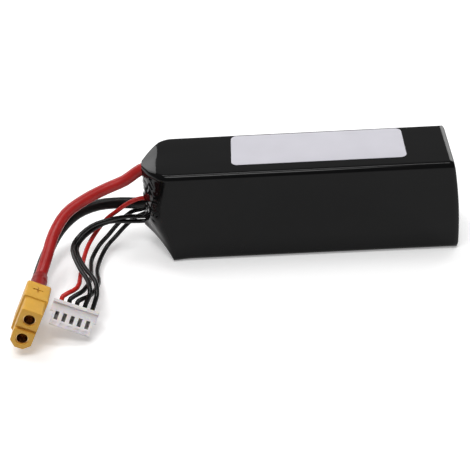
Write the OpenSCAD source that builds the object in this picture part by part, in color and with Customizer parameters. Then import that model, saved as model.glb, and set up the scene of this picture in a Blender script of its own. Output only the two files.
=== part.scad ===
// Four-cell pouch battery pack with a power plug and a balance plug.
// The pack stands on its narrow long side. Its length runs along X, the leads leave at -X.
// The origin is at the middle of the wrap's footprint, on the surface the pack stands on.

/* [Cells] */
// Thickness of one cell
cell_t = 5.8; // [4.5:0.1:8]
// Width of one cell, which is upright in the pack
cell_w = 33.8; // [28:0.1:44]
// Length of one cell with its sealed end
cell_l = 93.8; // [75:0.5:140]
// Radius along the long edges of a cell
cell_edge_r = 1.6; // [0.8:0.1:1.8]
// Length of the sealed end that holds the tabs
seal_l = 3.2; // [2.5:0.1:5]
// Thickness of the sealed end
seal_t = 0.4; // [0.3:0.05:0.6]
// Distance from a cell's long side to the end of its sealed end
seal_inset = 3.9; // [3:0.1:5]
// Width of a tab
tab_w = 5; // [4:0.1:6]
// Thickness of a tab
tab_t = 0.2; // [0.1:0.05:0.3]
// Length of a tab's fold on the board
tab_fold = 2; // [1:0.1:2.2]
// Depth of the upper tabs' middles under the wrap's roof
tab_drop = 8.6; // [8.5:0.1:10]
// Height of the lower tabs above the pack's base
tab_low = 11.5; // [10:0.5:12]

/* [Tape and padding] */
// Thickness of the double-sided tape between cells
tape_t = 0.2; // [0.1:0.05:0.5]
// Length of the tape between cells
tape_l = 70; // [40:1:72]
// Width of the tape between cells
tape_w = 20; // [10:0.5:26]
// Thickness of the bands around the stack
band_t = 0.1; // [0.05:0.05:0.2]
// Width of the bands around the stack
band_w = 12; // [6:0.5:20]
// Distance between the bands
band_pitch = 55; // [30:1:60]
// Thickness of the foam pad behind the cells
pad_t = 1; // [0.5:0.1:1.2]
// Width of the foam pad
pad_w = 18; // [10:0.5:19]
// Height of the foam pad
pad_h = 20; // [10:0.5:22]

/* [Shrink wrap] */
// Thickness of the film
film_t = 0.25; // [0.15:0.01:0.4]
// Play between the film and what it covers
film_play = 0.05; // [0.03:0.01:0.1]
// Length of the tapered end
taper_l = 10; // [9.5:0.1:14]
// How much further back the top of that end lies than its bottom
taper_rake = 1.5; // [0:0.1:2]
// Width of the mouth that the leads leave by
mouth_w = 6; // [5.8:0.1:8]
// Height of the mouth's lower end
mouth_low = 8.2; // [5:0.1:8.4]
// Depth of the mouth's upper end under the roof
mouth_drop = 1.8; // [0.8:0.1:2.1]
// How much further the closed end reaches at its foot than at its roof
end_reach = 3.4; // [2.4:0.1:5]
// Crown of the closed end
end_crown = 0.8; // [0.4:0.1:1.5]

/* [Label] */
// Length of the label
label_l = 57; // [30:0.5:70]
// Width of the label
label_w = 17.3; // [10:0.1:18]
// Thickness of the label
label_t = 0.1; // [0.05:0.05:0.2]
// Corner radius of the label
label_r = 2; // [0.5:0.1:4]
// Middle of the label along the pack
label_x = 6.4; // [0:0.1:10]
// Middle of the label across the pack
label_y = 1.7; // [0:0.1:1.8]

/* [Connection board] */
// Thickness of the board
board_t = 1; // [0.6:0.1:1.2]
// Width of the board
board_w = 15; // [14.2:0.1:15.6]
// Depth of the board's upper edge under the wrap's roof
board_drop = 1.8; // [1.7:0.1:3]
// Height of the board's lower edge above the pack's base
board_low = 5.8; // [5.6:0.1:6]
// Distance from the sealed ends to the board
board_gap = 0.8; // [0.5:0.1:1]
// Play around a tab in its slot
slot_play = 0.15; // [0.1:0.05:0.25]
// Thickness of the insulating sheet behind the board
sheet_t = 0.2; // [0.1:0.05:0.3]
// Length of a solder joint between the board and a wire
joint_l = 1.3; // [0.8:0.1:1.6]
// Diameter of a power lead's joint
lead_joint_d = 3.2; // [2:0.1:3.6]
// Diameter of a balance wire's joint
wire_joint_d = 1.6; // [1.2:0.1:1.8]

/* [Leads] */
// Diameter of a power lead
lead_d = 3.9; // [3:0.1:4.2]
// Length of the sleeve at the power plug
sleeve_l = 10; // [5:0.1:10.3]
// Wall of the sleeve at the power plug
sleeve_wall = 0.25; // [0.15:0.05:0.4]
// Play between the sleeve and the lead
sleeve_play = 0.05; // [0.03:0.01:0.1]
// Diameter of a balance wire
wire_d = 1.5; // [1:0.1:1.6]

/* [Power plug] */
// Length of the power plug
plug_l = 15.6; // [15:0.1:18]
// Width of the power plug, across its two sockets
plug_w = 15.5; // [15:0.1:17]
// Thickness of the power plug
plug_t = 7.9; // [7.5:0.1:9]
// Length of the nose that enters the mating plug
nose_l = 7; // [6:0.1:8]
// Step from the plug's rear block to its nose, all round
nose_step = 0.6; // [0.3:0.05:0.8]
// Chamfer at the negative end
plug_chamfer = 2; // [1:0.1:2.2]
// Chamfer at the positive end
plug_bevel = 0.5; // [0.3:0.1:0.8]
// Distance between the two sockets
socket_pitch = 7.2; // [7:0.1:7.5]
// Bore of a socket
socket_bore_d = 3.5; // [3.5:0.1:3.6]
// Wall of a socket
socket_wall = 0.23; // [0.15:0.01:0.3]
// Play between a socket and the housing
socket_play = 0.02; // [0.01:0.01:0.05]
// Depth of a socket's bore
socket_depth = 11; // [9:0.1:12]
// Depth of a socket's rim under the mating face
socket_sink = 0.6; // [0.3:0.1:1]
// Width of the slot across the mating face
face_slot_w = 1.2; // [0.8:0.1:1.6]
// Depth of the slot across the mating face
face_slot_d = 1; // [0.5:0.1:1.5]
// Length of a solder cup behind the housing
cup_l = 3; // [2:0.1:4]
// Bore of a solder cup
cup_bore_d = 2.9; // [2.4:0.1:3]

/* [Balance plug] */
// Length of the balance plug
bal_l = 8; // [7.6:0.1:10]
// Thickness of the balance plug with its rear lip
bal_t = 5.75; // [5.5:0.05:6.5]
// Distance between contacts
bal_pitch = 2.5; // [2.5:0.04:2.54]
// Width beyond the outer contacts, each side
bal_end = 1.5; // [1.4:0.1:2]
// Height of the rear lip above the top face
lip_h = 0.9; // [0.6:0.05:1.2]
// Length of the rear lip
lip_l = 1; // [0.8:0.1:1.5]
// Width of a side rib
rib_w = 0.9; // [0.5:0.1:1.2]
// Length of a side rib
rib_l = 3.9; // [2:0.1:5]
// Height of a side rib
rib_h = 3; // [2:0.1:3.5]
// Width of a contact's chamber
chamber_w = 1.8; // [1.6:0.1:1.9]
// Height of a contact's chamber
chamber_h = 2; // [1.8:0.1:2.2]
// Diameter of a wire's entry
entry_d = 2.2; // [2:0.1:2.3]
// Length of a wire's entry
entry_l = 1.2; // [1:0.1:1.6]
// Length of a window over a contact
window_l = 2.6; // [2:0.1:2.8]
// Width of a window over a contact
window_w = 1.2; // [0.8:0.1:1.4]
// Play between a contact and its chamber
contact_play = 0.1; // [0.05:0.01:0.15]

/* [Hidden] */

cell_count = 4;
contact_count = 5;
through = 1;          // how far a cut runs past the faces it leaves by
pad_low = 3;          // height of the foam pad's lower edge
pad_r = 2;            // corner radius of the foam pad
end_gap = 0.1;        // play at the ends of the cells and of the sleeves
film_fold_y = 1.2;    // half the width left at the middle of the closed end

// The stack and the film around it
stack_w = cell_count * cell_t + (cell_count - 1) * tape_t;
cover_t = band_t + film_play + film_t;
film_r = cell_edge_r + cover_t;
body_w = stack_w + 2 * cover_t;
body_h = cell_w + 2 * cover_t;
cell_body_l = cell_l - seal_l;
seal_w = cell_w - 2 * seal_inset;
tab_high = body_h - tab_drop;
board_h = body_h - board_drop - board_low;
straight_l = cell_body_l + taper_rake + 2 * end_gap + film_t;

// The closed end: inset from the side and reach at each step from its rim to its middle
end_steps = 8;
end_inset = body_w / 2 - film_fold_y;
function crown_at(v) = end_crown * pow(1 - pow(1 - v, 3), 1 / 3);
function reach_at(z) = end_reach * (1 - pow(z / body_h, 2));
rear_reach = max([for (k = [0:end_steps]) reach_at(end_inset * k / end_steps) + crown_at(k / end_steps)]);

// Places along the pack
wrap_l = taper_l + straight_l + rear_reach - taper_rake * mouth_low / body_h;
mouth_x = -wrap_l / 2 - taper_rake * mouth_low / body_h;
full_x = mouth_x + taper_l;
cell_x = full_x + taper_rake + end_gap;
rear_x = full_x + straight_l;
seal_x = cell_x - seal_l;
board_x = seal_x - board_gap - board_t;
joint_x = board_x - joint_l;

// Places across the pack
function cell_y(i) = -stack_w / 2 + i * (cell_t + tape_t);
// The sealed end lies in the plane of the cell's flat side, towards the middle of the stack
function seal_y(i) = (i < cell_count / 2) ? cell_y(i) + cell_t - seal_t : cell_y(i);
// Folds point away from the neighbouring tab
function fold_side(i) = (i == 0 || i == 2) ? 1 : -1;
// Polarity alternates from cell to cell, so that neighbours join in series
function positive_z(i) = (i % 2 == 0) ? tab_high : tab_low;
function negative_z(i) = (i % 2 == 0) ? tab_low : tab_high;

// A point given in a plug's own frame, in the pack's frame
function turn_x(p, a) = [p.x, p.y * cos(a) - p.z * sin(a), p.y * sin(a) + p.z * cos(a)];
function turn_y(p, a) = [p.x * cos(a) + p.z * sin(a), p.y, p.z * cos(a) - p.x * sin(a)];
function turn_z(p, a) = [p.x * cos(a) - p.y * sin(a), p.x * sin(a) + p.y * cos(a), p.z];
function placed(p, rot, pos) = pos + turn_z(turn_y(turn_x(p, rot.x), rot.y), rot.z);
// Height of a plug's origin at which its lowest corner is a little above the ground
ground_gap = 0.1;
function rest_height(corners, rot) = ground_gap - min([for (p = corners) placed(p, rot, [0, 0, 0]).z]);

// The power plug: X towards the mating face, Z towards the positive socket
nose_w = plug_w - 2 * nose_step;
nose_t = plug_t - 2 * nose_step;
socket_r = socket_bore_d / 2 + socket_wall;
cup_step = 0.08;      // how much slimmer a solder cup is than its socket
cup_r = socket_r - cup_step;
// Outline across the plug: flat at the positive end, chamfered at the negative end
function plug_outline(w, t) = [
    [-t / 2, w / 2 - plug_bevel], [-t / 2 + plug_bevel, w / 2],
    [t / 2 - plug_bevel, w / 2], [t / 2, w / 2 - plug_bevel],
    [t / 2, -w / 2 + plug_chamfer], [t / 2 - plug_chamfer, -w / 2],
    [-t / 2 + plug_chamfer, -w / 2], [-t / 2, -w / 2 + plug_chamfer]
];
plug_corners = concat(
    [for (x = [0, plug_l - nose_l]) for (p = plug_outline(plug_w, plug_t)) [x, p.x, p.y]],
    [for (p = plug_outline(nose_w, nose_t)) [plug_l, p.x, p.y]]
);
plug_rot = [-26, -9, -89];
plug_pos = [mouth_x - 33.5, -39.5, rest_height(plug_corners, plug_rot)];

// The balance plug: X towards the mating face, Z out of its top face at the rear lip
bal_w = (contact_count - 1) * bal_pitch + 2 * bal_end;
bal_corners = [
    for (x = [0, bal_l]) for (side = [-1, 1]) for (z = [0, -bal_t])
        [x, side * (bal_w / 2 + (x == 0 ? rib_w : 0)), z]
];
bal_rot = [-28, 39, -116];
bal_pos = [mouth_x - 18.2, -45.7, rest_height(bal_corners, bal_rot)];
top_z = -lip_h;
contact_z = (top_z - bal_t) / 2;
wire_in = 0.3;        // how far a balance wire reaches into its entry
wire_straight = 1.5;  // straight stretch of a balance wire behind the plug
front_notch_l = 1.1;
front_notch_w = 1.4;
front_notch_d = 0.3;
window_bar = 0.7;     // bar left between a window and the notch in front of it
contact_l = 5.5;
contact_wall = 0.3;
contact_sink = 0.8;   // depth of a contact under the mating face
contact_back = 1;     // solid stretch at the rear of a contact's box

function plug_point(x, side) = placed([x, 0, side * socket_pitch / 2], plug_rot, plug_pos);
plug_ahead = placed([1, 0, 0], plug_rot, [0, 0, 0]);
function contact_y(i) = (i - (contact_count - 1) / 2) * bal_pitch;
function bal_point(x, i) = placed([x, contact_y(i), contact_z], bal_rot, bal_pos);
bal_ahead = placed([1, 0, 0], bal_rot, [0, 0, 0]);

// Routes of the leads, from the joint on the board, out of the mouth and to the plug. The X of
// each point is counted from the mouth, so that the cords and plugs stay with it.
joint_dx = joint_x - mouth_x;
joint_drop = 1.8;     // depth of the positive lead's joint under the board's upper edge
joint_high = board_low + board_h - joint_drop;
joint_mid = (tab_low + tab_high) / 2;   // the negative lead's joint, between the two rows of tabs
lead_straight = 7.5;  // straight stretch of a lead behind its solder cup
function from_mouth(points) = [for (p = points) [mouth_x + p.x, p.y, p.z]];
function lead_end(side) = [plug_point(-cup_l - lead_straight, side), plug_point(-cup_l, side)];
function wire_end(i) = [bal_point(-wire_straight, i), bal_point(wire_in, i)];
positive_route = concat(from_mouth([
    [joint_dx, 0, joint_high], [1, 0, 30], [-4.5, -1.5, 27], [-11, -3, 25], [-18, -5, 22.5],
    [-24.5, -8.5, 19.5], [-28.5, -14, 15.5], [-30.5, -22, 12]
]), lead_end(1));
negative_route = concat(from_mouth([
    [joint_dx, 0, joint_mid], [0.5, 0, 16.5], [-7, 0.5, 16.5], [-15, 0.5, 16], [-22.5, -0.5, 13.5],
    [-28.5, -4, 9.5], [-32, -11, 6.5], [-34, -19, 4.5]
]), lead_end(-1));
balance_points = [
    [[joint_dx, -3.3, 20], [0.5, -1.5, 19.5], [-4, -2.5, 18.5], [-8.5, -3, 15.5], [-12, -3.5, 13],
     [-15.5, -7, 10.5], [-18, -12.5, 9], [-19, -19, 8.5], [-19, -28.5, 9.5], [-19, -37.5, 11.5]],
    [[joint_dx, 3.3, 15], [0.5, 1.5, 13], [-4, 0.5, 12.5], [-9, -2.5, 9.5], [-12, -5.5, 7.5],
     [-15, -9, 6], [-17, -14.5, 5], [-17, -19, 5.5], [-16, -28, 7.5], [-17, -38.5, 11]],
    [[joint_dx, 3.3, 12.5], [0.5, 1.5, 11], [-3, 0.5, 10], [-6.5, -1.5, 8], [-9.5, -4, 6],
     [-12.5, -7.5, 4.5], [-14.5, -13, 3.5], [-15, -20.5, 4], [-13.5, -29, 6], [-15, -38.5, 9]],
    [[joint_dx, -3.3, 14], [0.5, -1, 11.5], [-5, -3.5, 13.5], [-11, -7, 15], [-16.5, -10, 15],
     [-21, -14.5, 13.5], [-22, -20, 13], [-18.5, -30, 13], [-15.5, -36, 13], [-14.5, -41, 12]],
    [[joint_dx, -3.3, 11.5], [0.5, -1, 9.5], [-5, -3.5, 11.5], [-11, -6, 13.5], [-16, -9, 13],
     [-20, -13.5, 12], [-21, -18.5, 11.5], [-17.5, -27.5, 11.5], [-13.5, -34.5, 11.5], [-12.5, -40.5, 11]]
];
function balance_route(i) = concat(from_mouth(balance_points[i]), wire_end(i));

// ---- Shared shapes ----

function unit(v) = v / norm(v);
function mean(points) = [for (a = [0:2]) [for (p = points) p[a]] * [for (p = points) 1 / len(points)]];

// Closed skin over rings of equal size, with a fan over the first and the last ring
module skin(rings) {
    n = len(rings[0]);
    last = len(rings) - 1;
    points = concat([for (ring = rings) each ring], [mean(rings[0]), mean(rings[last])]);
    first_centre = n * (last + 1);
    sides = [for (i = [0:last - 1]) for (j = [0:n - 1]) each [
        [i * n + j, (i + 1) * n + j, i * n + (j + 1) % n],
        [i * n + (j + 1) % n, (i + 1) * n + j, (i + 1) * n + (j + 1) % n]
    ]];
    start = [for (j = [0:n - 1]) [first_centre, j, (j + 1) % n]];
    end = [for (j = [0:n - 1]) [first_centre + 1, last * n + (j + 1) % n, last * n + j]];
    polyhedron(points, concat(sides, start, end));
}

// Ring of points round one place on a route, square to the route there. The first ring is
// square to the board and the last one to the plug, so that both ends lie flat on them.
function ring_at(centre, ahead, r, sides) = let (
    across = unit(cross(ahead, [0, 0, 1])),
    up = cross(across, ahead)
) [for (k = [0:sides - 1]) centre + r * (cos(360 * k / sides) * across + sin(360 * k / sides) * up)];
function heading(route, i, finish) = (i == 0) ? [-1, 0, 0]
    : (i == len(route) - 1) ? finish
    : unit(route[i + 1] - route[i - 1]);
function tube_ring(route, i, finish, r, sides) = ring_at(route[i], heading(route, i, finish), r, sides);

module tube(route, finish, d, sides) {
    skin([for (i = [0:len(route) - 1]) tube_ring(route, i, finish, d / 2, sides)]);
}

module rounded_rectangle(w, h, r) {
    hull() {
        for (sx = [-1, 1]) {
            for (sy = [-1, 1]) {
                translate([sx * (w / 2 - r), sy * (h / 2 - r)]) circle(r, $fn = 32);
            }
        }
    }
}

// Rounded rectangle made of exact arcs and flats
module rounded_plate(w, h, r) {
    square([w - 2 * r, h], center = true);
    square([w, h - 2 * r], center = true);
    for (sx = [-1, 1]) {
        for (sy = [-1, 1]) {
            translate([sx * (w / 2 - r), sy * (h / 2 - r)]) circle(r, $fn = 48);
        }
    }
}

// Upright extrusion laid along X: the profile's x runs along Y and its y along Z
module along_x(x, l) {
    translate([x, 0, 0]) rotate([90, 0, 90]) linear_extrude(l) children();
}

module at_power_plug() {
    translate(plug_pos) rotate(plug_rot) children();
}

module at_balance_plug() {
    translate(bal_pos) rotate(bal_rot) children();
}

// ---- Shrink wrap ----

corner_steps = 6;
taper_steps = 8;
taper_bulge = 1.8;    // how fast the mouth widens, over 1 so that it meets the sides smoothly
roof_drop = 1.6;      // how early the roof comes down towards the mouth
foot_hollow = 2.2;    // how late the mouth's foot comes down, over 1 so that it is hollow

// Points of one cross-section: a rounded rectangle between two heights
function section(w, low, high, r) = [
    for (q = [0:3]) for (k = [0:corner_steps])
        let (a = 90 * q + 90 * k / corner_steps, sy = (q == 0 || q == 3) ? 1 : -1, sz = (q < 2) ? 1 : -1)
        [sy * (w / 2 - r) + r * cos(a), (sz > 0 ? high - r : low + r) + r * sin(a)]
];

// Cross-section of the tapered end, from the mouth (t = 0) to full size (t = 1)
function taper_section(t, wall) = section(
    mouth_w + (body_w - mouth_w) * (1 - pow(1 - t, taper_bulge)) - 2 * wall,
    mouth_low * (1 - pow(t, foot_hollow)) + wall,
    body_h - mouth_drop * pow(1 - t, roof_drop) - wall,
    film_r - wall
);
function taper_ring(t, wall) = [
    for (p = taper_section(t, wall))
        [mouth_x + t * taper_l + taper_rake * p.y / body_h, p.x, p.y]
];

// Cross-section of the closed end, from its rim (v = 0) to its middle (v = 1)
function rear_section(v, wall) = let (inset = v * end_inset) section(
    body_w - 2 * inset - 2 * wall * (1 - v / 2),
    inset + wall,
    body_h - inset - wall,
    min(film_r - wall + inset / 3, 0.9 * (body_w / 2 - inset) - wall / 2)
);
function rear_ring(v, wall) = [
    for (p = rear_section(v, wall)) [rear_x + reach_at(p.y) + crown_at(v) - wall, p.x, p.y]
];

// Rings of the film's outer side (wall = 0) or inner side, from the mouth to the closed end
function film_rings(wall) = concat(
    [for (k = [0:taper_steps]) taper_ring(k / taper_steps, wall)],
    [for (k = [0:end_steps]) rear_ring(k / end_steps, wall)]
);

// One skin: along the inner side to the mouth, round its edge and back along the outer side
module shrink_wrap() {
    inner = film_rings(film_t);
    color([0.12, 0.12, 0.12])
        skin(concat([for (i = [len(inner) - 1:-1:0]) inner[i]], film_rings(0)));
}

module rating_label() {
    color([0.8, 0.79, 0.82]) translate([label_x, label_y, body_h]) linear_extrude(label_t)
        rounded_plate(label_l, label_w, label_r);
}

// ---- Cell stack ----

module cell(i) {
    mid_y = cell_y(i) + cell_t / 2;
    mid_z = body_h / 2;
    color([0.72, 0.73, 0.75]) {
        translate([0, mid_y, mid_z]) along_x(cell_x, cell_body_l)
            rounded_plate(cell_t, cell_w, cell_edge_r);
        translate([seal_x, seal_y(i), mid_z - seal_w / 2]) cube([seal_l, seal_t, seal_w]);
    }
}

// A tab runs from the sealed end through the board and is folded flat on it
module tab(i, z) {
    y = seal_y(i) + seal_t / 2;
    run_l = seal_x - board_x + tab_t;
    translate([board_x - tab_t, y - tab_t / 2, z - tab_w / 2]) cube([run_l, tab_t, tab_w]);
    fold_y = (fold_side(i) > 0) ? y - tab_t / 2 : y + tab_t / 2 - tab_fold;
    translate([board_x - tab_t, fold_y, z - tab_w / 2]) cube([tab_t, tab_fold, tab_w]);
}

module positive_tab(i) {
    color([0.85, 0.85, 0.86]) tab(i, positive_z(i));
}

module negative_tab(i) {
    color([0.75, 0.72, 0.66]) tab(i, negative_z(i));
}

module cell_tape(i) {
    y = cell_y(i) + cell_t;
    mid_x = cell_x + cell_body_l / 2;
    color([0.85, 0.8, 0.6]) translate([mid_x - tape_l / 2, y, body_h / 2 - tape_w / 2])
        cube([tape_l, tape_t, tape_w]);
}

module stack_bands() {
    mid_x = cell_x + cell_body_l / 2;
    color([0.9, 0.75, 0.2]) for (side = [-1, 1]) {
        translate([0, 0, body_h / 2]) along_x(mid_x + side * band_pitch / 2 - band_w / 2, band_w)
            difference() {
                rounded_plate(stack_w + 2 * band_t, cell_w + 2 * band_t, cell_edge_r + band_t);
                rounded_plate(stack_w, cell_w, cell_edge_r);
            }
    }
}

module end_pad() {
    color([0.25, 0.25, 0.27]) translate([0, 0, pad_low + pad_h / 2]) along_x(cell_x + cell_body_l, pad_t)
        rounded_plate(pad_w, pad_h, pad_r);
}

// ---- Connection board ----

module tab_slots(x, l) {
    for (i = [0:cell_count - 1]) {
        for (z = [tab_low, tab_high]) {
            y = seal_y(i) + seal_t / 2;
            slot_w = tab_t + 2 * slot_play;
            slot_h = tab_w + 2 * slot_play;
            translate([x - through, y - slot_w / 2, z - slot_h / 2])
                cube([l + 2 * through, slot_w, slot_h]);
        }
    }
}

module insulating_sheet() {
    color([0.85, 0.85, 0.78]) difference() {
        translate([board_x + board_t, -board_w / 2, board_low]) cube([sheet_t, board_w, board_h]);
        tab_slots(board_x + board_t, sheet_t);
    }
}

module connection_board() {
    color([0.1, 0.4, 0.2]) difference() {
        translate([board_x, -board_w / 2, board_low]) cube([board_t, board_w, board_h]);
        tab_slots(board_x, board_t);
    }
}

// A short column of solder from the board to the start of a wire
module joint(start, d) {
    translate(start) rotate([0, 90, 0]) cylinder(d = d, h = joint_l, $fn = 32);
}

module lead_solder_joints() {
    color([0.7, 0.7, 0.72]) {
        joint(positive_route[0], lead_joint_d);
        joint(negative_route[0], lead_joint_d);
    }
}

module balance_solder_joints() {
    color([0.7, 0.7, 0.72]) for (i = [0:contact_count - 1])
        joint(balance_route(i)[0], wire_joint_d);
}

// ---- Leads ----

lead_sides = 12;
wire_sides = 8;

module positive_lead() {
    color([0.65, 0.12, 0.12]) tube(positive_route, plug_ahead, lead_d, lead_sides);
}

module negative_lead() {
    color([0.1, 0.1, 0.1]) tube(negative_route, plug_ahead, lead_d, lead_sides);
}

// Shrunk sleeve over the end of a lead and over its solder cup
module sleeve(side) {
    in_r = lead_d / 2 + sleeve_play;
    at_power_plug() translate([-end_gap - sleeve_l, 0, side * socket_pitch / 2]) rotate([0, 90, 0])
        difference() {
            cylinder(r = in_r + sleeve_wall, h = sleeve_l, $fn = 48);
            translate([0, 0, -through]) cylinder(r = in_r, h = sleeve_l + 2 * through, $fn = 48);
        }
}

module positive_sleeve() {
    color([0.65, 0.14, 0.14]) sleeve(1);
}

module negative_sleeve() {
    color([0.12, 0.12, 0.12]) sleeve(-1);
}

module balance_wire(i) {
    color((i == 0) ? [0.75, 0.14, 0.12] : [0.1, 0.1, 0.1])
        tube(balance_route(i), bal_ahead, wire_d, wire_sides);
}

// ---- Power plug ----

module power_plug_housing() {
    color([0.86, 0.66, 0.3]) at_power_plug() difference() {
        union() {
            along_x(0, plug_l - nose_l) polygon(plug_outline(plug_w, plug_t));
            along_x(plug_l - nose_l, nose_l) polygon(plug_outline(nose_w, nose_t));
        }
        for (side = [-1, 1]) {
            translate([-through, 0, side * socket_pitch / 2]) rotate([0, 90, 0])
                cylinder(r = socket_r + socket_play, h = plug_l + 2 * through, $fn = 48);
        }
        translate([plug_l - face_slot_d, -plug_t, -face_slot_w / 2])
            cube([face_slot_d + through, 2 * plug_t, face_slot_w]);
    }
}

// Socket: a bored tube in the housing with a solder cup behind it
module socket(side) {
    mouth = plug_l - socket_sink;
    at_power_plug() translate([0, 0, side * socket_pitch / 2]) rotate([0, 90, 0]) difference() {
        union() {
            cylinder(r = socket_r, h = mouth, $fn = 48);
            translate([0, 0, -cup_l]) cylinder(r = cup_r, h = cup_l + through, $fn = 48);
        }
        translate([0, 0, mouth - socket_depth])
            cylinder(d = socket_bore_d, h = socket_depth + through, $fn = 48);
        translate([0, 0, -cup_l - through]) cylinder(d = cup_bore_d, h = cup_l + through, $fn = 48);
    }
}

module positive_socket() {
    color([0.8, 0.62, 0.3]) socket(1);
}

module negative_socket() {
    color([0.8, 0.62, 0.3]) socket(-1);
}

module cup_solder(side) {
    color([0.7, 0.7, 0.72]) at_power_plug() translate([-cup_l, 0, side * socket_pitch / 2])
        rotate([0, 90, 0]) cylinder(d = cup_bore_d, h = cup_l, $fn = 48);
}

module positive_cup_solder() {
    cup_solder(1);
}

module negative_cup_solder() {
    cup_solder(-1);
}

// ---- Balance plug ----

module balance_plug_housing() {
    window_x = bal_l - front_notch_l - window_bar - window_l;
    color([0.88, 0.86, 0.85]) at_balance_plug() difference() {
        union() {
            translate([0, -bal_w / 2, -bal_t]) cube([bal_l, bal_w, bal_t - lip_h]);
            translate([0, -bal_w / 2 - rib_w, -bal_t]) cube([lip_l, bal_w + 2 * rib_w, bal_t]);
            translate([0, -bal_w / 2 - rib_w, top_z - rib_h]) cube([rib_l, bal_w + 2 * rib_w, rib_h]);
        }
        for (i = [0:contact_count - 1]) {
            y = contact_y(i);
            translate([-through, y, contact_z]) rotate([0, 90, 0])
                cylinder(d = entry_d, h = entry_l + through + 0.01, $fn = 32);
            translate([entry_l, y - chamber_w / 2, contact_z - chamber_h / 2])
                cube([bal_l - entry_l + through, chamber_w, chamber_h]);
            translate([window_x, y - window_w / 2, contact_z])
                cube([window_l, window_w, bal_t]);
            translate([bal_l - front_notch_l, y - front_notch_w / 2, top_z - front_notch_d])
                cube([front_notch_l + through, front_notch_w, front_notch_d + through]);
        }
    }
}

// Contact: a crimp barrel that grips the wire and a box that grips the mating pin
module contact(i) {
    w = chamber_w - 2 * contact_play;
    h = chamber_h - 2 * contact_play;
    box_x = bal_l - contact_sink - contact_l;
    translate([0, contact_y(i), contact_z]) {
        translate([wire_in, 0, 0]) rotate([0, 90, 0])
            cylinder(d = wire_d, h = box_x + contact_back / 2 - wire_in, $fn = 32);
        difference() {
            translate([box_x, -w / 2, -h / 2]) cube([contact_l, w, h]);
            translate([box_x + contact_back, -w / 2 + contact_wall, -h / 2 + contact_wall])
                cube([contact_l, w - 2 * contact_wall, h - 2 * contact_wall]);
        }
    }
}

module balance_contacts() {
    color([0.75, 0.73, 0.7]) at_balance_plug() for (i = [0:contact_count - 1]) contact(i);
}

shrink_wrap();
rating_label();
cell(0);  // cell_1
cell(1);  // cell_2
cell(2);  // cell_3
cell(3);  // cell_4
positive_tab(0);  // positive_tab_1
positive_tab(1);  // positive_tab_2
positive_tab(2);  // positive_tab_3
positive_tab(3);  // positive_tab_4
negative_tab(0);  // negative_tab_1
negative_tab(1);  // negative_tab_2
negative_tab(2);  // negative_tab_3
negative_tab(3);  // negative_tab_4
cell_tape(0);  // cell_tape_1
cell_tape(1);  // cell_tape_2
cell_tape(2);  // cell_tape_3
stack_bands();
end_pad();
insulating_sheet();
connection_board();
lead_solder_joints();
balance_solder_joints();
positive_lead();
negative_lead();
positive_sleeve();
negative_sleeve();
balance_wire(0);  // balance_wire_1
balance_wire(1);  // balance_wire_2
balance_wire(2);  // balance_wire_3
balance_wire(3);  // balance_wire_4
balance_wire(4);  // balance_wire_5
power_plug_housing();
positive_socket();
negative_socket();
positive_cup_solder();
negative_cup_solder();
balance_plug_housing();
balance_contacts();
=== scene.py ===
"""Looks of a wrapped battery pack with a power plug and a balance plug on flexible leads."""

import math

import bpy
from bpy.props import FloatProperty, FloatVectorProperty, IntProperty, PointerProperty
from mathutils import Euler, Matrix, Vector, noise


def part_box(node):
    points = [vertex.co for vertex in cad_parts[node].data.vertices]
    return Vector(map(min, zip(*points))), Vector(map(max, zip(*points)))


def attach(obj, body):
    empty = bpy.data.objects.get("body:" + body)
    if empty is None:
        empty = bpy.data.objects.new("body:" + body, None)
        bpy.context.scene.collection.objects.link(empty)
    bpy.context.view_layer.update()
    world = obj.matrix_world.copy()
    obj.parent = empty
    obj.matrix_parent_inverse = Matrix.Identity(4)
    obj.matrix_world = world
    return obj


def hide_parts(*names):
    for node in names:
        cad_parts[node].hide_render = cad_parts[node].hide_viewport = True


bl_info = {
    "name": "Wrapped Battery Pack",
    "version": (1, 0, 0),
    "blender": (4, 5, 0),
    "location": "3D View > Sidebar > Battery",
    "description": "Film, label, leads and plugs of a battery pack around its packed frame",
    "category": "Object",
}

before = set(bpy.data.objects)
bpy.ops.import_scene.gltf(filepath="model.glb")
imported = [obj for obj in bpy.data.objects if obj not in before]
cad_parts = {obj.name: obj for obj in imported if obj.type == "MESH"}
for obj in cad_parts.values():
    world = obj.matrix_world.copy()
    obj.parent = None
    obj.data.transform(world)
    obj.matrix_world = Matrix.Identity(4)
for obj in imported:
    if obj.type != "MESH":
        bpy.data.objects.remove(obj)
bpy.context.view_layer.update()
FILM_LOW, FILM_HIGH = (Vector(corner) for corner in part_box("shrink_wrap"))
MM = 0.001


# ---- Settings ----

def length(name, description, default):
    """A length in metres that the user can change."""
    return FloatProperty(
        name=name, description=description, default=default, min=0.0, unit="LENGTH",
        subtype="DISTANCE", precision=5,
    )


def factor(name, description, default):
    """A share from 0 to 1 that the user can change."""
    return FloatProperty(
        name=name, description=description, default=default, min=0.0, max=1.0, subtype="FACTOR",
    )


def colour(name, description, default):
    """A colour, as linear light, that the user can change."""
    return FloatVectorProperty(
        name=name, description=description, default=default, size=3, subtype="COLOR", min=0.0, max=1.0,
    )


def power(name, description, default):
    """A lamp's power, in watts, that the user can change."""
    return FloatProperty(name=name, description=description, default=default, min=0.0, unit="POWER")


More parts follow.
